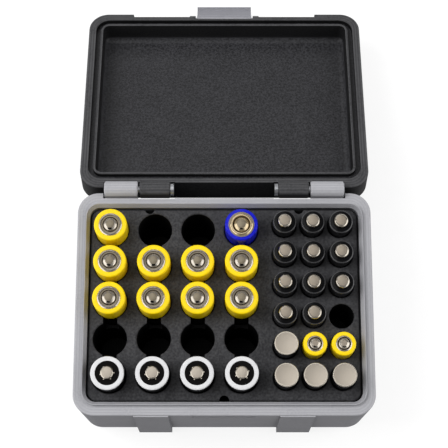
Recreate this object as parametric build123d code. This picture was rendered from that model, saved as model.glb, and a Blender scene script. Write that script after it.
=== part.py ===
"""Battery storage box: a printed case with a hinged lid, a latch, a lift-out cell tray and its cells.

Millimetres, +Z up. The origin is the middle of the base's underside, -Y is the front with the latch.
The lid is drawn shut, and then turned about its hinge to the open position that it rests in.
"""

import os
from math import atan2, degrees

from build123d import *

# Case, outside
case_width = 128.0
case_depth = 97.5
case_corner_radius = 9.0
base_height = 46.0
foot_chamfer = 1.0
rim_chamfer = 0.4

# Base walls and floor
side_wall = 5.3
front_wall = 5.85
back_wall = 6.5
base_floor = 2.5
base_inner_radius = 4.4

# Tongue on the base's rim, and the groove of the lid that it enters
tongue_width = 1.6
tongue_height = 1.3
tongue_bevel_width = 1.3
tongue_bevel_depth = 2.1
groove_clearance = 0.35

# Stand-off pads on the base's front
pad_width = 14.8
pad_spacing = 62.0
pad_proud_at_foot = 2.3
pad_proud_at_rim = 0.5
pad_edge = 0.6

# Tray that holds the cells
tray_clearance = 0.55
tray_floor = 2.0
tray_below_rim = 2.2
tray_edge = 0.5
notch_radius = 2.1
back_notch_outset = 0.2
front_notch_inset = 0.25
notch_depth = 12.0
notch_spacing = 65.4

# Cells: standard sizes
aa_diameter = 14.2
aa_length = 50.5
aaa_diameter = 10.3
aaa_length = 44.5
cell_edge = 0.5

# Pockets for the larger cells, and the walls beside and between them in this tray: a tray of another
# size shares its room out among the walls in the same way
aa_columns = 4
aa_rows = 5
aa_left_wall = 1.75
aa_column_wall = 4.0
aa_back_wall = 1.9
aa_row_wall = 1.25
aa_front_wall = 3.15
aa_pocket_clearance = 0.3
aa_channel_width = 6.2
aa_channel_depth = 14.0

# Pockets for the smaller cells, to the right of the larger ones, and their walls
aaa_columns = 3
aaa_rows = 6
aaa_left_wall = 5.95
aaa_column_wall = 1.35
aaa_right_wall = 2.3
aaa_back_wall = 1.9
aaa_row_wall = 2.6
aaa_front_wall = 4.35
aaa_pocket_clearance = 0.25
aaa_proud_of_tray = 9.6
pocket_lead_in = 0.4

# Lid
lid_gap = 0.3
lid_height = 13.0
lid_roof = 2.8
lid_edge = 2.5
lid_lip_width = 1.0
lid_ceiling_radius = 3.0
lid_groove_depth = 2.2
lid_front_recess = 1.8
lid_front_recess_width = 86.2
lid_open_angle = 195.0

# Hinge: two screws, each through a knuckle of the lid into one of the base
hinge_offset = 1.5
knuckle_radius = 3.75
knuckle_running_gap = 0.45
knuckle_chamfer = 0.5
hinge_recess = 2.4
hinge_recess_end_gap = 0.6
hinge_recess_height = 9.0
base_knuckle_inset = 11.5
base_knuckle_width = 14.7
knuckle_side_gap = 0.7
lid_knuckle_width = 13.45
hinge_screw_radius = 1.5
hinge_screw_running_gap = 0.08
hinge_screw_tip_cover = 2.0
screw_head_radius = 2.7
screw_head_height = 1.4
screw_head_gap = 0.15
screw_head_room = 2.0
screw_socket_width = 2.0
screw_socket_depth = 0.9

# Latch on the lid's front
latch_width = 26.0
latch_pocket_gap = 0.7
latch_pocket_depth = 1.1
latch_axis_above_rim = 5.3
latch_barrel_radius = 2.35
latch_plate_thickness = 2.2
latch_reach = 12.8
latch_wall_gap = 0.4
latch_hook_proud = 1.15
latch_hook_height = 1.5
latch_hook_below_rim = 4.4
latch_lip_proud = 1.0
latch_lip_height = 3.0
latch_lip_land = 1.0
catch_clearance = 0.6
latch_pin_radius = 1.25
latch_pin_running_gap = 0.08
latch_ear_radius = 2.1
latch_ear_width = 2.8
latch_ear_root = 1.0
latch_pin_end_cover = 0.8
latch_open_angle = 110.0

# How far a cut runs past the surface that it opens
cut_past = 1.0

# Sine and cosine of 45 degrees
diagonal = 0.5**0.5

# Places worked out from the sizes above
front_y = -case_depth / 2
back_y = case_depth / 2
hinge_y = back_y + hinge_offset
hinge_z = base_height
base_knuckle_outer = case_width / 2 - base_knuckle_inset
hinge_recess_half = base_knuckle_outer + hinge_recess_end_gap
lid_z = base_height + lid_gap
lid_top_z = lid_z + lid_height
tray_half_x = case_width / 2 - side_wall - tray_clearance
tray_front_y = front_y + front_wall + tray_clearance
tray_back_y = back_y - back_wall - tray_clearance
tray_top_z = base_height - tray_below_rim
aa_seat_z = base_floor + tray_floor
aaa_seat_z = tray_top_z + aaa_proud_of_tray - aaa_length
aa_pocket_width = aa_diameter + 2 * aa_pocket_clearance
aaa_pocket_width = aaa_diameter + 2 * aaa_pocket_clearance
latch_inner_y = front_y - latch_wall_gap
latch_outer_y = latch_inner_y - latch_plate_thickness
latch_y = latch_outer_y + latch_barrel_radius
latch_z = base_height + latch_axis_above_rim
hinge_axis = Axis((0, hinge_y, hinge_z), (-1, 0, 0))
latch_axis = Axis((0, latch_y, latch_z), (-1, 0, 0))

# The cells that stand in the pockets: row and column, counted from the back left
yellow_aa = [(0, 0)] + [(row, column) for row in (1, 2) for column in range(aa_columns)]
blue_aa = [(0, 3)]
white_aa = [(4, column) for column in range(aa_columns)]
black_aaa = [(row, column) for row in range(4) for column in range(aaa_columns) if (row, column) != (3, 2)]
yellow_aaa = [(4, 1), (4, 2)]
inverted_aaa = [(4, 0)] + [(5, column) for column in range(aaa_columns)]


def column_stretch():
    """How thick the walls beside the columns are, as a multiple of their stated sizes."""
    pockets = aa_columns * aa_pocket_width + aaa_columns * aaa_pocket_width
    aa_walls = aa_left_wall + (aa_columns - 1) * aa_column_wall
    aaa_walls = aaa_left_wall + (aaa_columns - 1) * aaa_column_wall + aaa_right_wall
    return (2 * tray_half_x - pockets) / (aa_walls + aaa_walls)


def row_stretch(rows, pocket_width, back_wall_there, row_wall, front_wall_there):
    """The same for the walls between the rows of one kind of pocket."""
    walls = back_wall_there + (rows - 1) * row_wall + front_wall_there
    return (tray_back_y - tray_front_y - rows * pocket_width) / walls


def aa_place(row, column):
    """Middle of one large pocket, counted from the back left."""
    stretch_x = column_stretch()
    stretch_y = row_stretch(aa_rows, aa_pocket_width, aa_back_wall, aa_row_wall, aa_front_wall)
    from_left = stretch_x * (aa_left_wall + column * aa_column_wall) + (column + 0.5) * aa_pocket_width
    from_back = stretch_y * (aa_back_wall + row * aa_row_wall) + (row + 0.5) * aa_pocket_width
    return from_left - tray_half_x, tray_back_y - from_back


def aaa_place(row, column):
    """Middle of one small pocket, counted from the back left."""
    stretch_x = column_stretch()
    stretch_y = row_stretch(aaa_rows, aaa_pocket_width, aaa_back_wall, aaa_row_wall, aaa_front_wall)
    after = aaa_columns - 1 - column
    from_right = stretch_x * (aaa_right_wall + after * aaa_column_wall) + (after + 0.5) * aaa_pocket_width
    from_back = stretch_y * (aaa_back_wall + row * aaa_row_wall) + (row + 0.5) * aaa_pocket_width
    return tray_half_x - from_right, tray_back_y - from_back


def block(x_low, x_high, y_low, y_high, z_low, z_high):
    """Plain box between two corners."""
    size = Box(x_high - x_low, y_high - y_low, z_high - z_low)
    return Pos((x_low + x_high) / 2, (y_low + y_high) / 2, (z_low + z_high) / 2) * size


def rounded_slab(x_half, y_low, y_high, radius, z_low, z_high):
    """Upright slab with rounded corners, the same on the left and right."""
    outline = Pos(0, (y_low + y_high) / 2, z_low) * RectangleRounded(2 * x_half, y_high - y_low, radius)
    return extrude(outline, z_high - z_low)


def case_slab(inset, radius, z_low, z_high):
    """Slab of the case's own outline, drawn in by an inset on every side."""
    return rounded_slab(case_width / 2 - inset, front_y + inset, back_y - inset, radius, z_low, z_high)


def cavity_slab(outset, z_low, z_high):
    """Slab of the base's cavity, let out by an outset on every side."""
    x_half = case_width / 2 - side_wall + outset
    y_low = front_y + front_wall - outset
    y_high = back_y - back_wall + outset
    return rounded_slab(x_half, y_low, y_high, base_inner_radius + outset, z_low, z_high)


def rod(radius, x_low, x_high, y, z):
    """Round bar along X."""
    return Pos(x_low, y, z) * Rot(0, 90, 0) * extrude(Circle(radius), x_high - x_low)


def prism_along_x(points, x_low, x_high):
    """Prism along X from an outline of (y, z) points."""
    outline = make_face(Polyline(*[(x_low, y, z) for y, z in points], close=True))
    return extrude(outline, x_high - x_low, dir=(1, 0, 0))


def both_sides(shape):
    """The shape and its mirror image on the other side of the case."""
    return shape + mirror(shape, Plane.YZ)


def edges_at_height(shape, z):
    """Edges that lie flat at one height."""
    return shape.edges().filter_by_position(Axis.Z, z - 0.01, z + 0.01)


def hinge_spans():
    """Where the knuckles and the screw head lie along X, on the right-hand side."""
    base_inner = base_knuckle_outer - base_knuckle_width
    lid_outer = base_inner - knuckle_side_gap
    lid_inner = lid_outer - lid_knuckle_width
    return base_inner, lid_outer, lid_inner


def knuckle(x_low, x_high, side):
    """Barrel with a sloping web to the wall: side is -1 for the base's, below, and 1 for the lid's."""
    root_y = back_y - hinge_recess - hinge_offset / 2
    slope = knuckle_radius * diagonal
    tip_y = hinge_y + slope
    tip_z = hinge_z + side * slope
    rim_z = hinge_z if side < 0 else lid_z
    web = [
        (root_y, rim_z),
        (hinge_y, rim_z),
        (tip_y, tip_z),
        (root_y, tip_z + side * (tip_y - root_y)),
    ]
    barrel = rod(knuckle_radius, x_low, x_high, hinge_y, hinge_z)
    barrel = chamfer(barrel.edges().filter_by(GeomType.CIRCLE), knuckle_chamfer)
    return barrel + prism_along_x(web, x_low + knuckle_chamfer, x_high - knuckle_chamfer)


def base_shell():
    """Open box with the rim's tongue, the front pads, the catch slot and two hinge knuckles."""
    base_inner, _, lid_inner = hinge_spans()
    shell = case_slab(0, case_corner_radius, 0, base_height)
    shell = chamfer(edges_at_height(shell, 0), foot_chamfer)
    shell = chamfer(edges_at_height(shell, base_height), rim_chamfer)
    tongue_top = base_height + tongue_height
    shell += cavity_slab(tongue_width, base_height, tongue_top)
    shell += stand_off_pads()
    shell -= cavity_slab(0, base_floor, tongue_top)
    shell -= rim_bevel(tongue_top)
    shell -= hinge_recess_cut(base_height - hinge_recess_height, base_height, -1)
    gap_radius = knuckle_radius + knuckle_running_gap
    shell -= both_sides(rod(gap_radius, lid_inner - screw_head_room, base_inner, hinge_y, hinge_z))
    shell += both_sides(knuckle(base_inner, base_knuckle_outer, -1))
    bore_end = base_knuckle_outer - hinge_screw_tip_cover
    shell -= both_sides(rod(hinge_screw_radius, base_inner, bore_end, hinge_y, hinge_z))
    return shell - catch_slot()


def rim_bevel(tongue_top):
    """Bevel down the inside of the tongue, which leads the lid's lip and the tray in."""
    low_z = tongue_top - tongue_bevel_depth
    middle_y = (front_wall - back_wall) / 2
    wide = case_width - 2 * side_wall
    deep = case_depth - front_wall - back_wall
    slope = degrees(atan2(tongue_bevel_width, tongue_bevel_depth))
    outline = Pos(0, middle_y, low_z) * RectangleRounded(wide, deep, base_inner_radius)
    return extrude(outline, tongue_bevel_depth, taper=-slope)


def hinge_recess_cut(z_low, z_high, side):
    """Recess across the back wall that the knuckles lie in, with a sloping end away from the rim."""
    face_y = back_y - hinge_recess
    end_z = z_low if side < 0 else z_high
    rim_z = z_high if side < 0 else z_low
    points = [
        (face_y, rim_z),
        (back_y + cut_past, rim_z),
        (back_y + cut_past, end_z + side * (hinge_recess + cut_past)),
        (face_y, end_z),
    ]
    return prism_along_x(points, -hinge_recess_half, hinge_recess_half)


def stand_off_pads():
    """Two wedge-shaped pads on the front wall."""
    profile = [
        (front_y + pad_edge, 0),
        (front_y - pad_proud_at_foot + pad_edge, 0),
        (front_y - pad_proud_at_foot, pad_edge),
        (front_y - pad_proud_at_rim, base_height - pad_edge),
        (front_y + pad_edge, base_height - pad_edge),
    ]
    middle = pad_spacing / 2
    return both_sides(prism_along_x(profile, middle - pad_width / 2, middle + pad_width / 2))


def catch_slot():
    """Slot in the front wall that the latch's hook drops into."""
    z_high = base_height - latch_hook_below_rim + catch_clearance
    z_low = z_high - latch_hook_height - 2 * catch_clearance
    half_width = latch_width / 2 + catch_clearance
    depth = latch_hook_proud - latch_wall_gap + catch_clearance
    return block(-half_width, half_width, front_y - cut_past, front_y + depth, z_low, z_high)


def pocket(x, y, radius, seat_z):
    """Round pocket with a lead-in at its mouth."""
    hole = Pos(x, y, seat_z) * extrude(Circle(radius), tray_top_z - seat_z)
    mouth_z = tray_top_z - pocket_lead_in
    mouth = Pos(x, y, mouth_z) * extrude(Circle(radius), pocket_lead_in, taper=-45)
    return [hole, mouth]


def finger_notch(x, y):
    """Round notch in the tray's edge, to lift it out by."""
    return Pos(x, y, tray_top_z - notch_depth) * extrude(Circle(notch_radius), notch_depth)


def cell_tray():
    """Block with a pocket for each cell, channels between the large pockets and three finger notches."""
    corner = base_inner_radius - tray_clearance
    tray = rounded_slab(tray_half_x, tray_front_y, tray_back_y, corner, base_floor, tray_top_z)
    tray = chamfer(edges_at_height(tray, tray_top_z), tray_edge)
    cuts = []
    for row in range(aa_rows):
        for column in range(aa_columns):
            x, y = aa_place(row, column)
            cuts += pocket(x, y, aa_pocket_width / 2, aa_seat_z)
    for row in range(aaa_rows):
        for column in range(aaa_columns):
            x, y = aaa_place(row, column)
            cuts += pocket(x, y, aaa_pocket_width / 2, aaa_seat_z)
    for column in range(aa_columns):
        x, first_y = aa_place(0, column)
        last_y = aa_place(aa_rows - 1, column)[1]
        channel_floor = tray_top_z - aa_channel_depth
        cuts.append(
            block(
                x - aa_channel_width / 2, x + aa_channel_width / 2, last_y, first_y, channel_floor, tray_top_z
            )
        )
    for x in (-notch_spacing / 2, notch_spacing / 2):
        cuts.append(finger_notch(x, tray_back_y + back_notch_outset))
    cuts.append(finger_notch(0, tray_front_y + front_notch_inset))
    return tray.cut(*cuts)


def turned(points):
    """Solid of revolution about Z from an outline of (radius, height) points."""
    outline = make_face(Polyline(*[(radius, 0, z) for radius, z in points], close=True))
    return revolve(outline, Axis.Z)


def button_cell(radius, length, nub_radius, nub_height, ring_radius, ring_height):
    """Cell with a raised contact on a stepped top, standing on its flat end."""
    shoulder_z = length - nub_height - ring_height
    return turned(
        [
            (0, 0),
            (radius - cell_edge, 0),
            (radius, cell_edge),
            (radius, shoulder_z - cell_edge),
            (radius - cell_edge, shoulder_z),
            (ring_radius, shoulder_z),
            (ring_radius, shoulder_z + ring_height),
            (nub_radius, shoulder_z + ring_height),
            (nub_radius, length - cell_edge / 2),
            (nub_radius - cell_edge / 2, length),
            (0, length),
        ]
    )


def standing_cell(kind):
    """Cell of one kind with its flat end at the origin."""
    if kind == "aa_alkaline":
        return button_cell(aa_diameter / 2, aa_length, 2.75, 1.1, 4.8, 0.35)
    if kind == "aa_rechargeable":
        return button_cell(aa_diameter / 2, aa_length, 2.7, 1.6, 4.9, 0.2)
    if kind == "aaa_alkaline":
        return button_cell(aaa_diameter / 2, aaa_length, 1.9, 0.9, 3.3, 0.3)
    return button_cell(aaa_diameter / 2, aaa_length, 2.95, 2.0, 4.2, 0.2)


def placed_cells():
    """Every cell by name, in its pocket."""
    kinds = [
        ("aa_cell", "aa_alkaline", yellow_aa + blue_aa, aa_place, aa_seat_z, aa_length, False),
        ("aa_cell", "aa_rechargeable", white_aa, aa_place, aa_seat_z, aa_length, False),
        ("aaa_cell", "aaa_lithium", black_aaa, aaa_place, aaa_seat_z, aaa_length, False),
        ("aaa_cell", "aaa_alkaline", yellow_aaa, aaa_place, aaa_seat_z, aaa_length, False),
        ("aaa_cell", "aaa_lithium", inverted_aaa, aaa_place, aaa_seat_z, aaa_length, True),
    ]
    cells = {}
    for prefix, kind, places, place, seat_z, length, inverted in kinds:
        cell = standing_cell(kind)
        if inverted:
            cell = Pos(0, 0, length) * Rot(180, 0, 0) * cell
        for row, column in places:
            x, y = place(row, column)
            cells[f"{prefix}_row{row + 1}_col{column + 1}"] = Pos(x, y, seat_z) * cell
    return cells


def lid_shell():
    """Lid, drawn shut: rim groove, hollow inside, recesses at front and back, knuckles and latch ears."""
    _, lid_outer, lid_inner = hinge_spans()
    shell = case_slab(0, case_corner_radius, lid_z, lid_top_z)
    shell = chamfer(edges_at_height(shell, lid_top_z), lid_edge)
    shell = chamfer(edges_at_height(shell, lid_z), rim_chamfer)
    shell -= lid_groove()
    hollow = cavity_slab(-lid_lip_width - groove_clearance, lid_z, lid_top_z - lid_roof)
    shell -= fillet(edges_at_height(hollow, lid_top_z - lid_roof), lid_ceiling_radius)
    half = lid_front_recess_width / 2
    shell -= block(-half, half, front_y - cut_past, front_y + lid_front_recess, lid_z, lid_top_z)
    half = hinge_recess_half
    shell -= block(-half, half, back_y - hinge_recess, back_y + cut_past, lid_z, lid_top_z)
    gap_radius = knuckle_radius + knuckle_running_gap
    shell -= both_sides(rod(gap_radius, lid_outer, hinge_recess_half, hinge_y, hinge_z))
    shell -= both_sides(rod(gap_radius, lid_inner - screw_head_room, lid_inner, hinge_y, hinge_z))
    shell += both_sides(knuckle(lid_inner, lid_outer, 1))
    shell -= both_sides(
        rod(hinge_screw_radius + hinge_screw_running_gap, lid_inner, lid_outer, hinge_y, hinge_z)
    )
    shell -= latch_pocket()
    shell += latch_ears()
    return shell - rod(latch_pin_radius, -latch_pin_half(), latch_pin_half(), latch_y, latch_z)


def lid_groove():
    """Groove in the lid's rim that clears the base's tongue."""
    outside = cavity_slab(tongue_width + groove_clearance, lid_z, lid_z + lid_groove_depth)
    return outside - cavity_slab(-groove_clearance, lid_z, lid_z + lid_groove_depth)


def latch_pocket():
    """Pocket in the lid's front wall behind the latch's barrel."""
    half = latch_width / 2 + latch_pocket_gap
    wall_y = front_y + lid_front_recess
    return block(-half, half, wall_y - cut_past, wall_y + latch_pocket_depth, lid_z, lid_top_z)


def latch_pin_half():
    """Half of the latch pin's length."""
    return latch_width / 2 + latch_pocket_gap + latch_ear_width - latch_pin_end_cover


def latch_ears():
    """Two ears on the lid's front that hold the ends of the latch's pin."""
    inner_x = latch_width / 2 + latch_pocket_gap
    outer_x = inner_x + latch_ear_width
    root_y = front_y + lid_front_recess + latch_ear_root
    slope = latch_ear_radius * diagonal
    low_y = latch_y - slope
    web = [
        (root_y, lid_z),
        (low_y, latch_z - slope),
        (latch_y, latch_z + latch_ear_radius),
        (root_y, latch_z + latch_ear_radius),
    ]
    ear = rod(latch_ear_radius, inner_x, outer_x, latch_y, latch_z) + prism_along_x(web, inner_x, outer_x)
    return both_sides(ear)


def latch():
    """Latch, drawn shut: barrel with a heel that stops it open, plate, hook and thumb lip."""
    tip_z = latch_z - latch_reach
    hook_top = base_height - latch_hook_below_rim
    hook_bottom = hook_top - latch_hook_height
    hook_y = latch_inner_y + latch_hook_proud
    lip_y = latch_outer_y - latch_lip_proud
    outline = [
        (latch_y, latch_z + latch_barrel_radius),
        (latch_outer_y, latch_z + latch_barrel_radius),
        (latch_outer_y, tip_z + latch_lip_height),
        (lip_y, tip_z + latch_lip_land),
        (lip_y, tip_z),
        (latch_inner_y, tip_z),
        (latch_inner_y, hook_bottom),
        (hook_y, hook_bottom + latch_hook_height / 2),
        (hook_y, hook_top),
        (latch_inner_y, hook_top),
        (latch_inner_y, latch_z),
        (latch_y, latch_z),
    ]
    half = latch_width / 2
    body = prism_along_x(outline, -half, half) + rod(latch_barrel_radius, -half, half, latch_y, latch_z)
    return body - rod(latch_pin_radius + latch_pin_running_gap, -half, half, latch_y, latch_z)


def hinge_screw(side):
    """Screw of one hinge: head against the lid's knuckle, shank into the base's."""
    lid_inner = hinge_spans()[2]
    head_face = lid_inner - screw_head_gap
    tip = base_knuckle_outer - hinge_screw_tip_cover
    screw = rod(hinge_screw_radius, head_face, tip, hinge_y, hinge_z)
    screw += rod(screw_head_radius, head_face - screw_head_height, head_face, hinge_y, hinge_z)
    socket = Pos(head_face - screw_head_height, hinge_y, hinge_z) * Rot(0, 90, 0)
    socket_profile = RegularPolygon(screw_socket_width / 2, 6, major_radius=False)
    screw -= socket * extrude(socket_profile, screw_socket_depth)
    return screw if side > 0 else mirror(screw, Plane.YZ)


def opened(shape):
    """A piece of the shut lid, turned to where it rests open."""
    return shape.rotate(hinge_axis, lid_open_angle)


def all_parts():
    """Every piece by name, where it rests."""
    parts = {
        "base_shell": base_shell(),
        "cell_tray": cell_tray(),
        "lid_shell": opened(lid_shell()),
        "latch": opened(latch().rotate(latch_axis, latch_open_angle)),
        "latch_pin": opened(rod(latch_pin_radius, -latch_pin_half(), latch_pin_half(), latch_y, latch_z)),
        "hinge_screw_left": hinge_screw(-1),
        "hinge_screw_right": hinge_screw(1),
    }
    parts.update(placed_cells())
    return parts


os.makedirs("parts", exist_ok=True)
for name, shape in all_parts().items():
    export_step(shape, f"parts/{name}.step")
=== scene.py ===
"""Battery storage box, open: finishes for its case, lid, latch and tray, and the cells that stand in it.

Metres, +Z up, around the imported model. Sizes are given in millimetres and turned to metres by MM.
"""

import random
from math import atan2, degrees, hypot, pi, radians

import bmesh
import bpy
from mathutils import Matrix, Vector


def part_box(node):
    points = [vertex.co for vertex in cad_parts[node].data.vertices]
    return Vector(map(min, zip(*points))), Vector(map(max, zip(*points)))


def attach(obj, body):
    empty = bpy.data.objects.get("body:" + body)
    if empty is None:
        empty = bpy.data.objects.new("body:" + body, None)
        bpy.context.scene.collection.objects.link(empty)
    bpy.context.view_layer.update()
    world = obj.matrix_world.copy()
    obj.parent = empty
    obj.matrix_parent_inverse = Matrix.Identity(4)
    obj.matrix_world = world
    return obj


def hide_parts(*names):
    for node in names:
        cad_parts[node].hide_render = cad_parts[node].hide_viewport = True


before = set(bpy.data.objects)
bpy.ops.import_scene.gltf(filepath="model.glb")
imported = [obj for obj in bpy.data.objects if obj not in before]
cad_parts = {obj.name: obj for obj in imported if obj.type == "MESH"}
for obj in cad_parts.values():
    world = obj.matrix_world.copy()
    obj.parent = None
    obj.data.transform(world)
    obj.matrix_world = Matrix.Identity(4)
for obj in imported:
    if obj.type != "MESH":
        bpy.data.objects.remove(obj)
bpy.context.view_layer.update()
MM = 0.001


# Base shell.
# Printed in grey PLA, layer by layer from its foot up, with thick walls. The ridge round its rim enters the
# lid's groove, and the pads on its front are part of the same print.
CASE_HALF_X = 64.0 * MM
CASE_HALF_Y = 48.75 * MM
CASE_CORNER = 9.0 * MM
# The real beads are 0.45 mm wide and the layers 0.2 mm high: too fine to show, so both are drawn coarser.
BEAD = 1.2 * MM
LAYER = 0.55 * MM
GRIT = 0.9 * MM
CLOUD = 11 * MM
BEAD_DEPTH = 0.04 * MM
SIDE_ROUGHNESS = 0.85
# Shares of straight up: a face that points up less than the first is upright, and past the second, level.
UPRIGHT_BELOW = 0.30
LEVEL_ABOVE = 0.55
# Most of a noise lies between these two values.
NOISE_LOW = 0.35
NOISE_HIGH = 0.65
# From place to place the lines show this faintly or strongly, and the cloud gives this much of the tone.
LINES_FAINT = 0.4
LINES_STRONG = 0.95
CLOUD_SHARE = 0.3
SMOOTHER = -0.06
ROUGHER = 0.08


def linear(colour):
    """Linear RGBA of an sRGB hex colour."""
    shares = [int(colour[i : i + 2], 16) / 255 for i in (0, 2, 4)]
    return [s / 12.92 if s <= 0.04045 else ((s + 0.055) / 1.055) ** 2.4 for s in shares] + [1.0]


def add_node(tree, kind, inputs, **settings):
    """Add one shader node: inputs are values or the sockets that feed them, by name or number."""
    made = tree.nodes.new("ShaderNode" + kind)
    for name, value in settings.items():
        setattr(made, name, value)
    for key, value in inputs.items():
        if isinstance(value, bpy.types.NodeSocket):
            tree.links.new(value, made.inputs[key])
        else:
            made.inputs[key].default_value = value
    return made


def start_finish(name, **sockets):
    """New material: its node tree and its Principled shader, with the values that are the same all over."""
    material = bpy.data.materials.new(name)
    material.use_nodes = True
    shader = material.node_tree.nodes["Principled BSDF"]
    for key, value in sockets.items():
        shader.inputs[key.replace("_", " ")].default_value = value
    return material, material.node_tree, shader


def outline_distance(tree, place):
    """Distance out from the case's outline, seen from above: 0 on it, and below 0 inside."""
    flat = add_node(tree, "VectorMath", {0: place, 1: (1, 1, 0)}, operation="MULTIPLY").outputs[0]
    away = add_node(tree, "VectorMath", {0: flat}, operation="ABSOLUTE").outputs[0]
    core = (CASE_HALF_X - CASE_CORNER, CASE_HALF_Y - CASE_CORNER, 0)
    past = add_node(tree, "VectorMath", {0: away, 1: core}, operation="SUBTRACT").outputs[0]
    round_part = add_node(tree, "VectorMath", {0: past, 1: (0, 0, 0)}, operation="MAXIMUM").outputs[0]
    outside = add_node(tree, "VectorMath", {0: round_part}, operation="LENGTH").outputs["Value"]
    sides = add_node(tree, "SeparateXYZ", {0: past}).outputs
    nearest = add_node(tree, "Math", {0: sides[0], 1: sides[1]}, operation="MAXIMUM").outputs[0]
    inside = add_node(tree, "Math", {0: nearest, 1: 0.0}, operation="MINIMUM").outputs[0]
    total = add_node(tree, "Math", {0: outside, 1: inside}, operation="ADD").outputs[0]
    return add_node(tree, "Math", {0: total, 1: CASE_CORNER}, operation="SUBTRACT").outputs[0]


def ribs(tree, along, pitch):
    """Rounded ribs side by side, 0 in the valleys and 1 on the crests."""
    turns = add_node(tree, "Math", {0: along, 1: pi / pitch}, operation="MULTIPLY").outputs[0]
    wave = add_node(tree, "Math", {0: turns}, operation="SINE").outputs[0]
    return add_node(tree, "Math", {0: wave}, operation="ABSOLUTE").outputs[0]


def printed_plastic(name, level_tones, painted_shade_side_tones, roughness, turn=0.0, hinge=(0, 0, 0), bed=None, shine=0.4):
    """Matt filament print, with a crest and a valley tone each for its level and its upright faces.
    The upright faces' tones are darker: painted shade.

    turn and hinge bring a piece that rests open back to how it was printed. bed is a height and two tones:
    level faces above it take the tones and the grain of a textured sheet in place of beads. shine is how
    strongly the plastic mirrors light.
    """
    material, tree, shader = start_finish(name, Specular_IOR_Level=shine)
    spot = add_node(tree, "TexCoord", {}).outputs
    inputs = {"Vector": spot["Object"], "Location": hinge, "Rotation": (turn, 0, 0)}
    upright = add_node(tree, "Mapping", inputs, vector_type="TEXTURE").outputs[0]
    place = add_node(tree, "VectorMath", {0: upright, 1: hinge}, operation="ADD").outputs[0]
    inputs = {"Vector": spot["Normal"], "Rotation": (turn, 0, 0)}
    facing = add_node(tree, "Mapping", inputs, vector_type="TEXTURE").outputs[0]
    facing_z = add_node(tree, "SeparateXYZ", {0: facing}).outputs[2]
    steep = add_node(tree, "Math", {0: facing_z}, operation="ABSOLUTE").outputs[0]
    level = add_node(tree, "MapRange", {0: steep, 1: UPRIGHT_BELOW, 2: LEVEL_ABOVE}).outputs[0]
    height = add_node(tree, "SeparateXYZ", {0: place}).outputs[2]

    cloud = add_node(tree, "TexNoise", {"Vector": place, "Scale": 1 / CLOUD, "Detail": 4.0}).outputs[0]
    grit = add_node(tree, "TexNoise", {"Vector": place, "Scale": 1 / GRIT, "Detail": 3.0}).outputs[0]
    grain = add_node(tree, "MapRange", {0: grit, 1: NOISE_LOW, 2: NOISE_HIGH}).outputs[0]
    beads = ribs(tree, outline_distance(tree, place), BEAD)
    layers = ribs(tree, height, LAYER)
    if bed:
        above = add_node(tree, "Math", {0: height, 1: bed[0]}, operation="GREATER_THAN").outputs[0]
        beads = add_node(tree, "Mix", {0: above, 2: beads, 3: grain}, data_type="FLOAT").outputs[0]
    lines = add_node(tree, "Mix", {0: level, 2: layers, 3: beads}, data_type="FLOAT").outputs[0]
    fading_inputs = {0: cloud, 1: NOISE_LOW, 2: NOISE_HIGH, 3: LINES_FAINT, 4: LINES_STRONG}
    fading = add_node(tree, "MapRange", fading_inputs).outputs[0]
    surface = add_node(tree, "Mix", {0: fading, 2: grain, 3: lines}, data_type="FLOAT").outputs[0]
    tone = add_node(tree, "Mix", {0: CLOUD_SHARE, 2: surface, 3: cloud}, data_type="FLOAT").outputs[0]

    level_inputs = {0: tone, 6: linear(level_tones[1]), 7: linear(level_tones[0])}
    level_colour = add_node(tree, "Mix", level_inputs, data_type="RGBA").outputs[2]
    if bed:
        bed_inputs = {0: tone, 6: linear(bed[2]), 7: linear(bed[1])}
        bed_colour = add_node(tree, "Mix", bed_inputs, data_type="RGBA").outputs[2]
        choice = {0: above, 6: level_colour, 7: bed_colour}
        level_colour = add_node(tree, "Mix", choice, data_type="RGBA").outputs[2]
    # Upright faces take the darker side tones: painted shade.
    side_inputs = {0: tone, 6: linear(painted_shade_side_tones[1]), 7: linear(painted_shade_side_tones[0])}
    painted_shade_side_colour = add_node(tree, "Mix", side_inputs, data_type="RGBA").outputs[2]
    colour = add_node(tree, "Mix", {0: level, 6: painted_shade_side_colour, 7: level_colour}, data_type="RGBA").outputs[2]
    tree.links.new(colour, shader.inputs["Base Color"])
    gloss_inputs = {0: level, 2: SIDE_ROUGHNESS, 3: roughness}
    base_gloss = add_node(tree, "Mix", gloss_inputs, data_type="FLOAT").outputs[0]
    uneven = add_node(tree, "MapRange", {0: grain, 3: SMOOTHER, 4: ROUGHER}).outputs[0]
    gloss = add_node(tree, "Math", {0: base_gloss, 1: uneven}, operation="ADD").outputs[0]
    tree.links.new(gloss, shader.inputs["Roughness"])
    bump = add_node(tree, "Bump", {"Height": surface, "Strength": 0.5, "Distance": BEAD_DEPTH})
    tree.links.new(bump.outputs[0], shader.inputs["Normal"])
    return material


def finish_node(name, material):
    """Give a CAD node its finish."""
    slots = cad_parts[name].data.materials
    slots.clear()
    slots.append(material)


# Grey PLA as it comes from the nozzle. Level faces have a soft sheen and faint lines along the outline. The
# walls are painted darker, as painted shade, and are duller, with level lines one above the other.
grey_print = printed_plastic("grey_printed_pla", ("a0a0a4", "89898d"), ("6e6e72", "5a5a5e"), 0.5)
finish_node("base_shell", grey_print)


# Hinge screws and latch pin.
# Two zinc-plated steel socket screws, each driven outwards through the lid's knuckle into the base's, and the
# plain steel rod that the latch turns on.
PLATING_FINE = 0.6 * MM
PLATING_RELIEF = 0.004 * MM
GRAIN_LOW = 0.3
GRAIN_HIGH = 0.7


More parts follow.
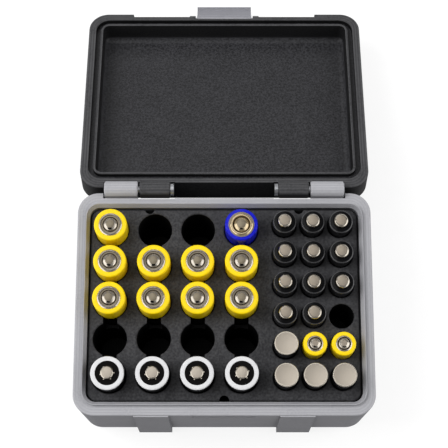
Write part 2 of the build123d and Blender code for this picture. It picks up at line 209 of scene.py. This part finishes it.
def plated_steel(name, colour, dull, roughness, grain_size):
    """Plated steel: two shades and an uneven gloss, in a grain of one size."""
    material, tree, shader = start_finish(name, Metallic=1.0)
    place = add_node(tree, "TexCoord", {}).outputs["Object"]
    grain = add_node(tree, "TexNoise", {"Vector": place, "Scale": 1 / grain_size, "Detail": 5.0}).outputs[0]
    shades = {0: grain, 6: linear(dull), 7: linear(colour)}
    colours = add_node(tree, "Mix", shades, data_type="RGBA").outputs[2]
    tree.links.new(colours, shader.inputs["Base Color"])
    gloss_inputs = {0: grain, 1: GRAIN_LOW, 2: GRAIN_HIGH, 3: roughness - 0.05, 4: roughness + 0.08}
    gloss = add_node(tree, "MapRange", gloss_inputs)
    tree.links.new(gloss.outputs[0], shader.inputs["Roughness"])
    bump = add_node(tree, "Bump", {"Height": grain, "Strength": 0.12, "Distance": PLATING_RELIEF})
    tree.links.new(bump.outputs[0], shader.inputs["Normal"])
    return material


# Bright zinc plating, tumbled in the bath: silvery, but a fine cloudy grain keeps it from being a mirror.
zinc = plated_steel("zinc_plated_steel", "d6d7da", "a3a5aa", 0.3, PLATING_FINE)
for name in ("hinge_screw_left", "hinge_screw_right", "latch_pin"):
    finish_node(name, zinc)


# Lid.
# Printed in black PLA, top face down on a textured sheet. It turns on the two screws and lies open behind the
# base, with the inside of its roof and the groove for the base's ridge in view.
LID_TURN = radians(-195)
HINGE = (0, 50.25 * MM, 46 * MM)
# The groove's floor and the roof lie above this height when the lid is shut, and its rim below it.
LID_BED = (47 * MM, "363639", "101012")

# Black PLA. The rim is painted a lighter grey than the roof, as painted sheen, and shows beads along the
# outline.
# The roof and the groove have a fine, sandy grain, and the walls are painted near black, as painted shade.
black_print = printed_plastic(
    "black_printed_pla", ("4a4a4c", "161618"), ("101012", "070708"), 0.5, LID_TURN, HINGE, LID_BED
)
finish_node("lid_shell", black_print)


# Latch.
# A small plate with a hook, printed in the same grey PLA as the base. It swings on a steel pin between two
# ears on the lid's front edge, and the hook enters the slot in the base. It rests turned back about its pin.
LATCH_TURN = radians(-305)

# Grey PLA again, a little paler than on the base's walls: fine lines and a soft sheen.
# Its upright faces are painted darker than its level ones, as painted shade.
grey_latch_print = printed_plastic(
    "grey_printed_latch", ("a0a0a5", "84848a"), ("8a8a90", "707076"), 0.55, LATCH_TURN, HINGE
)
finish_node("latch", grey_latch_print)


# Cell tray.
# A loose block of black PLA with a round pocket for each cell, and channels between the larger ones. It
# stands on the base's floor and is lifted out by the notches in its edges.
TRAY_BED = (40 * MM, "444446", "28282a")

# Black PLA, flat and even on top: charcoal, with a fine grain and hardly any shine. The floors of the pockets
# and channels are painted darker and their walls black, as painted shade.
black_tray_print = printed_plastic(
    "black_printed_tray", ("2e2e2f", "1c1c1d"), ("0c0c0d", "070708"), 0.5, bed=TRAY_BED, shine=0.1
)
finish_node("cell_tray", black_tray_print)


# Cells with a yellow or blue sleeve.
# Each is a plated steel can in a glossy shrunk sleeve, black low down and coloured on top, which curls over
# the end. A pressed steel cover with a raised contact fills the middle, with a vent in the contact's side.
# The narrow groove round the contact and the vent are painted near black, as painted shade.
SPIN_STEPS = 72
MERGE = 0.002 * MM
RING_MATCH = 0.01 * MM
SLEEVE_CLOUD = 3 * MM
SLEEVE_RIPPLE = 1.1 * MM
RIPPLE_DEPTH = 0.03 * MM
PLATING_BROAD = 1.5 * MM
TOP_ABOVE = 40 * MM
VENT_HALF = 0.65 * MM
VENT_LIP = 0.06 * MM
VENT_DEPTH = 0.25 * MM
SHARP_ANGLE = radians(38)
MOST_TURN = 9


def glossy_sleeve(name, colour, shade, shine=0.3):
    """Smooth plastic, such as film shrunk on the can: glossy, with a faint unevenness and ripples."""
    material, tree, shader = start_finish(name, Specular_IOR_Level=shine)
    place = add_node(tree, "TexCoord", {}).outputs["Object"]
    cloud = add_node(tree, "TexNoise", {"Vector": place, "Scale": 1 / SLEEVE_CLOUD, "Detail": 4.0}).outputs[0]
    shades = {0: cloud, 6: linear(shade), 7: linear(colour)}
    colours = add_node(tree, "Mix", shades, data_type="RGBA").outputs[2]
    tree.links.new(colours, shader.inputs["Base Color"])
    gloss = add_node(tree, "MapRange", {0: cloud, 1: GRAIN_LOW, 2: GRAIN_HIGH, 3: 0.14, 4: 0.24})
    tree.links.new(gloss.outputs[0], shader.inputs["Roughness"])
    ripple_inputs = {"Vector": place, "Scale": 1 / SLEEVE_RIPPLE, "Detail": 2.0}
    ripple = add_node(tree, "TexNoise", ripple_inputs).outputs[0]
    bump = add_node(tree, "Bump", {"Height": ripple, "Strength": 0.3, "Distance": RIPPLE_DEPTH})
    tree.links.new(bump.outputs[0], shader.inputs["Normal"])
    return material


def spin_band(mesh, points, finish):
    """Spin a run of (radius, height) points, in millimetres, about Z in one finish."""
    known = set(mesh.faces)
    corners = [mesh.verts.new((radius * MM, 0, height * MM)) for radius, height in points]
    edges = [mesh.edges.new(pair) for pair in zip(corners, corners[1:])]
    bmesh.ops.spin(
        mesh,
        geom=corners + edges,
        cent=(0, 0, 0),
        axis=(0, 0, 1),
        angle=2 * pi,
        steps=SPIN_STEPS,
        use_merge=True,
    )
    for face in mesh.faces:
        if face not in known:
            face.material_index = finish


def soften_ring(mesh, radius, height, width, segments=4):
    """Round off the edge that runs round at one radius and height, in millimetres."""
    found = []
    for edge in mesh.edges:
        ends = [(hypot(v.co.x, v.co.y) - radius * MM, v.co.z - height * MM) for v in edge.verts]
        if all(abs(out) < RING_MATCH and abs(up) < RING_MATCH for out, up in ends):
            found.append(edge)
    bmesh.ops.bevel(
        mesh,
        geom=found,
        offset=width * MM,
        affect="EDGES",
        segments=segments,
        profile=0.5,
        material=-1,
        clamp_overlap=True,
    )


def vent_hole(mesh, inner, outer, finish):
    """Sink a vent in the contact's slope, towards the front, between two radii in millimetres."""
    patch = []
    for face in mesh.faces:
        middle = face.calc_center_median()
        in_slope = middle.z > TOP_ABOVE and inner * MM < hypot(middle.x, middle.y) < outer * MM
        if in_slope and middle.y < 0 and abs(middle.x) < VENT_HALF:
            patch.append(face)
    bmesh.ops.inset_region(mesh, faces=patch, thickness=VENT_LIP, depth=-VENT_DEPTH, use_even_offset=True)
    # Callers give the vent's floor the near-black finish: painted shade in the hole.
    for face in patch:
        face.material_index = finish


def turned_cell(bands, rounded, vent=None):
    """Cell standing at the origin, from its bands, its rounded edges and its vent."""
    mesh = bmesh.new()
    for finish, points in bands:
        spin_band(mesh, points, finish)
    bmesh.ops.remove_doubles(mesh, verts=mesh.verts, dist=MERGE)
    for ring in rounded:
        soften_ring(mesh, *ring)
    bmesh.ops.recalc_face_normals(mesh, faces=mesh.faces)
    if vent:
        vent_hole(mesh, *vent)
    return mesh


def stand_cells(nodes, mesh, finishes):
    """Put a copy of a turned cell in the place of each CAD cell, turned a little as cells are when put in."""
    for node_name in nodes:
        low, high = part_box(node_name)
        turn = Matrix.Rotation(radians(chance.uniform(-MOST_TURN, MOST_TURN)), 4, "Z")
        place = Matrix.Translation(((low.x + high.x) / 2, (low.y + high.y) / 2, low.z))
        data = bpy.data.meshes.new(node_name + "_look")
        mesh.to_mesh(data)
        data.transform(place @ turn)
        for finish in finishes:
            data.materials.append(finish)
        data.shade_smooth()
        data.set_sharp_from_angle(angle=SHARP_ANGLE)
        cell = bpy.data.objects.new(node_name + "_look", data)
        bpy.context.scene.collection.objects.link(cell)
        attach(cell, node_name)
        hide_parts(node_name)
    mesh.free()


chance = random.Random(7)
# Coloured PVC film, shrunk on with heat: a strong colour under a clear gloss, a little deeper in places.
yellow_sleeve = glossy_sleeve("yellow_shrink_sleeve", "e6cb0c", "dab804")
blue_sleeve = glossy_sleeve("blue_shrink_sleeve", "0812c0", "060c8c")
# Nickel-plated steel, pressed and smooth: warm silver with long soft highlights.
bright_nickel = plated_steel("nickel_plated_cover", "e2dacc", "cbc2b4", 0.24, PLATING_BROAD)
# The same plating scuffed by springs and handling: grey-brown and dull, with hardly a highlight.
dull_nickel = plated_steel("scuffed_nickel_contact", "c2b6a2", "9c9079", 0.5, PLATING_FINE)
# Plating with a tint of brass in it, on the blue cell alone: pale gold.
golden_nickel = plated_steel("golden_nickel_cover", "e6d3b0", "cfbb98", 0.24, PLATING_BROAD)
# Near black, giving back next to no light: the black washer of the white-ringed cells, the sleeve low on the
# can, and painted shade in the narrow grooves round the contacts and in the vents.
near_black_and_painted_shade = glossy_sleeve("near_black_with_painted_shade", "0c0b0a", "060505", 0.05)
# Finishes of a cell's bands, in the order that its materials are given.
# DARK is the near-black finish: painted shade in the grooves and vents, and the sleeve low on the can.
SLEEVE, COVER, CONTACT, DARK = range(4)

# The can's flat end underneath, and the black part of the sleeve, are alike on the yellow and blue cells.
AA_FOOT = (COVER, [(0, 0.3), (4.6, 0.3), (4.9, 0), (6.5, 0)])
AA_LOWER_SLEEVE = (DARK, [(6.5, 0), (7.1, 0), (7.1, 38.6)])

YELLOW_AA = ["aa_cell_row1_col1"]
YELLOW_AA += [f"aa_cell_row{row}_col{column}" for row in (2, 3) for column in (1, 2, 3, 4)]
yellow_aa = turned_cell(
    [
        AA_FOOT,
        AA_LOWER_SLEEVE,
        (SLEEVE, [(7.1, 38.6), (7.1, 49.05), (5.1, 49.05)]),
        (COVER, [(5.1, 49.05), (5.05, 49.15), (4.85, 49.4), (4.55, 49.63), (4.25, 49.75), (4.1, 49.7)]),
        (CONTACT, [(4.1, 49.7), (4.02, 49.3), (3.92, 49.15), (3.7, 49.12), (3.35, 49.12)]),
        # Painted shade: the narrow groove at the contact's foot is near black.
        (DARK, [(3.35, 49.12), (3.1, 49.05)]),
        (COVER, [(3.1, 49.05), (3.05, 49.3), (2.85, 49.62), (2.5, 49.92), (1.78, 50.4)]),
        (CONTACT, [(1.78, 50.4), (1.62, 50.5), (0, 50.5)]),
    ],
    [(7.1, 0, 0.4), (7.1, 49.05, 0.75, 5)],
    # The vent's floor is near black: painted shade.
    (1.78, 2.5, DARK),
)
stand_cells(YELLOW_AA, yellow_aa, [yellow_sleeve, bright_nickel, dull_nickel, near_black_and_painted_shade])

blue_aa = turned_cell(
    [
        AA_FOOT,
        AA_LOWER_SLEEVE,
        (SLEEVE, [(7.1, 38.6), (7.1, 49.05), (5.6, 49.05)]),
        (CONTACT, [(5.6, 49.05), (5.5, 49.12), (5.0, 49.12)]),
        (COVER, [(5.0, 49.12), (4.85, 49.3), (4.6, 49.56), (4.25, 49.75), (3.95, 49.72), (3.78, 49.45)]),
        (CONTACT, [(3.78, 49.45), (3.7, 49.1), (3.6, 49.0)]),
        # Painted shade: the narrow groove at the contact's foot is near black.
        (DARK, [(3.6, 49.0), (3.4, 49.0)]),
        (COVER, [(3.4, 49.0), (3.3, 49.25), (3.0, 49.58), (2.5, 49.98), (1.95, 50.4)]),
        (CONTACT, [(1.95, 50.4), (1.8, 50.5), (0, 50.5)]),
    ],
    [(7.1, 0, 0.4), (7.1, 49.05, 0.7, 5)],
    # The vent's floor is near black: painted shade.
    (1.95, 2.5, DARK),
)
stand_cells(
    ["aa_cell_row1_col4"], blue_aa, [blue_sleeve, golden_nickel, dull_nickel, near_black_and_painted_shade]
)


# Cells with a white ring.
# Rechargeable cells of the larger size: a black sleeve, a white insulating ring over the can's shoulder, and
# in it a black washer and a tall plain contact, whose pressed feet come up through the washer.
WASHER, RING = 3, 4
WASHER_ABOVE = 48 * MM
FACES_UP = 0.9
FOOT_HALF_ANGLE = 5
FOOT_LIP = 0.04 * MM
FOOT_HEIGHT = 0.15 * MM


def contact_feet(mesh, inner, outer, angles, finish):
    """Raise the contact's feet from the washer, at angles in degrees and between two radii in millimetres."""
    patch = []
    for face in mesh.faces:
        middle = face.calc_center_median()
        in_washer = middle.z > WASHER_ABOVE and inner * MM < hypot(middle.x, middle.y) < outer * MM
        turned = degrees(atan2(middle.y, middle.x)) % 360
        at_foot = any(abs(turned - angle) < FOOT_HALF_ANGLE for angle in angles)
        if in_washer and at_foot and face.normal.z > FACES_UP:
            patch.append(face)
    bmesh.ops.inset_region(mesh, faces=patch, thickness=FOOT_LIP, depth=FOOT_HEIGHT, use_even_offset=True)
    for face in patch:
        face.material_index = finish


# Moulded white polypropylene: clean and bright, with a soft gloss on its rounded edge.
white_ring = glossy_sleeve("white_insulating_ring", "cdcdce", "bcbcbe")
# Black PVC film: nearly black, with a low gloss that shows only where it curves.
black_sleeve = glossy_sleeve("black_shrink_sleeve", "08080a", "040405", 0.2)
# Nickel plating with a matt grain: light and even, without a highlight of its own.
pale_nickel = plated_steel("matt_nickel_contact", "eee3d4", "dcd2c3", 0.5, PLATING_FINE)
WHITE_AA = [f"aa_cell_row5_col{column}" for column in (1, 2, 3, 4)]
white_aa = turned_cell(
    [
        AA_FOOT,
        (SLEEVE, [(6.5, 0), (7.05, 0), (7.05, 47.6)]),
        (RING, [(7.05, 47.6), (7.1, 47.6), (7.1, 48.75), (5.2, 48.75), (5.15, 48.55)]),
        (WASHER, [(5.15, 48.55), (3.15, 48.55)]),
        (WASHER, [(3.15, 48.55), (2.75, 48.55)]),
        (COVER, [(2.75, 48.55), (2.65, 50.15), (2.3, 50.45)]),
        (CONTACT, [(2.3, 50.45), (2.15, 50.5), (0, 50.5)]),
    ],
    [(7.05, 0, 0.4), (7.1, 48.75, 0.5, 5)],
)
contact_feet(white_aa, 2.75, 3.15, (10, 130, 200, 250, 310), COVER)
stand_cells(
    WHITE_AA, white_aa, [black_sleeve, bright_nickel, pale_nickel, near_black_and_painted_shade, white_ring]
)


# Smaller cells in black.
# Cells of the smaller size in black film. It folds over the shoulder and runs up to the foot of a wide, tall
# contact, pressed from plated steel with a well rounded edge. The fold is painted paler, as a painted
# highlight, and the gap at the contact's foot near black, as painted shade.
FOLD = 4
AAA_FOOT = (COVER, [(0, 0.2), (3.2, 0.2), (3.5, 0), (4.7, 0)])
# The last pocket of the fourth row is empty.
BLACK_AAA = [f"aaa_cell_row{row}_col{column}" for row in (1, 2, 3, 4) for column in (1, 2, 3)]
BLACK_AAA.remove("aaa_cell_row4_col3")
black_aaa = turned_cell(
    [
        AAA_FOOT,
        (SLEEVE, [(4.7, 0), (5.15, 0), (5.15, 41.3)]),
        # Painted highlight: the fold takes a paler finish.
        (FOLD, [(5.15, 41.3), (5.1, 41.6), (4.98, 41.84), (4.78, 42.0), (4.62, 42.02)]),
        (SLEEVE, [(4.62, 42.02), (3.3, 42.5)]),
        # Painted shade: the gap at the contact's foot is near black.
        (DARK, [(3.3, 42.5), (3.0, 42.3)]),
        (COVER, [(3.0, 42.3), (3.0, 43.5), (2.94, 43.8), (2.75, 44.08), (2.5, 44.27), (2.15, 44.45)]),
        (CONTACT, [(2.15, 44.45), (2.0, 44.5), (0, 44.5)]),
    ],
    [(5.15, 0, 0.3)],
)
# Nickel plating worn by use: a little darker and warmer than new, and matt.
warm_nickel = plated_steel("worn_nickel_contact", "cfc3b2", "baae9e", 0.5, PLATING_FINE)
# The same black film stretched over the shoulder, glossier, and painted paler as a painted highlight: a thin
# light arc round the cell.
painted_highlight_fold = glossy_sleeve("black_sleeve_fold", "3a3a3c", "1c1c1e", 1.0)
stand_cells(
    BLACK_AAA,
    black_aaa,
    [black_sleeve, bright_nickel, warm_nickel, near_black_and_painted_shade, painted_highlight_fold],
)


# Smaller cells in yellow.
# Two cells of the smaller size in the same yellow film as the larger ones. The film curls over the end, round
# a ringed steel cover with a small raised contact, again with a vent towards the front. The groove round the
# contact and the vent are painted near black, as painted shade.
YELLOW_AAA = ["aaa_cell_row5_col2", "aaa_cell_row5_col3"]
yellow_aaa = turned_cell(
    [
        AAA_FOOT,
        (SLEEVE, [(4.7, 0), (5.15, 0), (5.15, 43.3), (3.45, 43.3)]),
        (COVER, [(3.45, 43.3), (3.35, 43.42), (3.1, 43.65), (2.85, 43.75), (2.72, 43.6), (2.7, 43.35)]),
        # Painted shade: the narrow groove at the contact's foot is near black.
        (DARK, [(2.7, 43.35), (2.45, 43.3)]),
        (COVER, [(2.45, 43.3), (2.35, 43.65), (2.1, 43.95), (1.75, 44.15), (1.3, 44.42)]),
        (CONTACT, [(1.3, 44.42), (1.2, 44.5), (0, 44.5)]),
    ],
    [(5.15, 0, 0.3), (5.15, 43.3, 0.6, 5)],
    # The vent's floor is near black: painted shade.
    (1.3, 1.75, DARK),
)
stand_cells(
    YELLOW_AAA, yellow_aaa, [yellow_sleeve, bright_nickel, warm_nickel, near_black_and_painted_shade]
)


# Cells that stand upside down.
# Four of the black cells put in with the contact down. The flat end of the can is on top: plain pressed steel
# with matt nickel plating, brighter on its rounded edge, which stands just proud of the film.
INVERTED_AAA = ["aaa_cell_row5_col1"] + [f"aaa_cell_row6_col{column}" for column in (1, 2, 3)]
inverted_aaa = turned_cell(
    [
        (CONTACT, [(0, 0), (2.0, 0), (2.95, 0.8), (3.0, 2.2)]),
        (SLEEVE, [(3.0, 2.2), (4.75, 2.2), (5.15, 2.8), (5.15, 43.8), (4.95, 43.85)]),
        (COVER, [(4.95, 43.85), (5.1, 44.0), (5.1, 44.5), (4.5, 44.5)]),
        (CONTACT, [(4.5, 44.5), (4.35, 44.45), (0, 44.45)]),
    ],
    [(5.1, 44.5, 0.3, 5)],
)
stand_cells(
    INVERTED_AAA, inverted_aaa, [black_sleeve, bright_nickel, pale_nickel, near_black_and_painted_shade]
)


# Studio.
# A white light table that leaves no grey shadows, and soft lights: a strong one high on the left, others high
# on the right and overhead, two long low ones that put the crescents on the contacts, and one behind.
TABLE_HALF = 3.0
TABLE_DROP = 0.1 * MM
TABLE_SPECK = 1.111 * MM
BOX_MIDDLE = Vector((0, 0.02, 0.04))

# Opal acrylic lit from below: an even matt white that hardly reflects, with a speck too faint to see.
floor_finish, floor_tree, floor_shader = start_finish(
    "white_light_table",
    Roughness=0.9,
    Specular_IOR_Level=0.1,
    Emission_Color=(1, 1, 1, 1),
    Emission_Strength=0.8,
)
speck = add_node(floor_tree, "TexNoise", {"Scale": 1 / TABLE_SPECK}).outputs[0]
tint = add_node(floor_tree, "Mix", {0: speck, 6: linear("7c7c7c"), 7: linear("848484")}, data_type="RGBA")
floor_tree.links.new(tint.outputs[2], floor_shader.inputs["Base Color"])
floor_mesh = bmesh.new()
bmesh.ops.create_grid(floor_mesh, x_segments=1, y_segments=1, size=TABLE_HALF)
bmesh.ops.translate(floor_mesh, verts=floor_mesh.verts, vec=(0, 0, -TABLE_DROP))
floor_data = bpy.data.meshes.new("table_top")
floor_mesh.to_mesh(floor_data)
floor_mesh.free()
floor_data.materials.append(floor_finish)
table_top = bpy.data.objects.new("table_top", floor_data)
bpy.context.scene.collection.objects.link(table_top)


def soft_light(name, place, width, height, power, mirrored=True):
    """Soft light of a width and height in metres that faces the box. Shiny surfaces show it if mirrored."""
    data = bpy.data.lights.new(name, "AREA")
    data.shape = "RECTANGLE"
    data.size = width
    data.size_y = height
    data.energy = power
    lamp = bpy.data.objects.new(name, data)
    lamp.location = place
    lamp.rotation_euler = (BOX_MIDDLE - Vector(place)).to_track_quat("-Z", "Y").to_euler()
    lamp.visible_glossy = mirrored
    lamp.visible_camera = False
    bpy.context.scene.collection.objects.link(lamp)


soft_light("high_left", (-0.75, 0.20, 0.90), 0.8, 0.8, 12.5, mirrored=False)
soft_light("high_right", (0.90, 0.10, 0.80), 0.7, 0.7, 6.5, mirrored=False)
soft_light("overhead", (-0.25, 0.30, 1.20), 1.2, 1.0, 3.3)
soft_light("left_wall", (-0.90, -0.36, 0.30), 1.6, 0.6, 4.2)
soft_light("right_wall", (0.94, -0.25, 0.30), 1.3, 0.6, 3.4)
soft_light("behind", (-0.40, 1.05, 0.75), 1.3, 0.5, 1.4)

# An even white surround fills the shadows a little.
world = bpy.data.worlds.new("studio")
world.use_nodes = True
bpy.context.scene.world = world
surround = world.node_tree.nodes["Background"].inputs
surround["Color"].default_value = (1, 1, 1, 1)
surround["Strength"].default_value = 0.22
bpy.context.scene.view_settings.view_transform = "Standard"

# Camera.
# A long lens, a little in front of the box and high above it, as in the photograph.
camera = bpy.data.objects.new("camera", bpy.data.cameras.new("camera"))
camera.data.lens = 101.25
camera.data.sensor_width = 36.0
camera.data.shift_y = 0.047
camera.location = (-0.0001, -0.1105, 0.5763)
camera.rotation_euler = (radians(14.35), 0, 0)
bpy.context.scene.collection.objects.link(camera)
bpy.context.scene.camera = camera
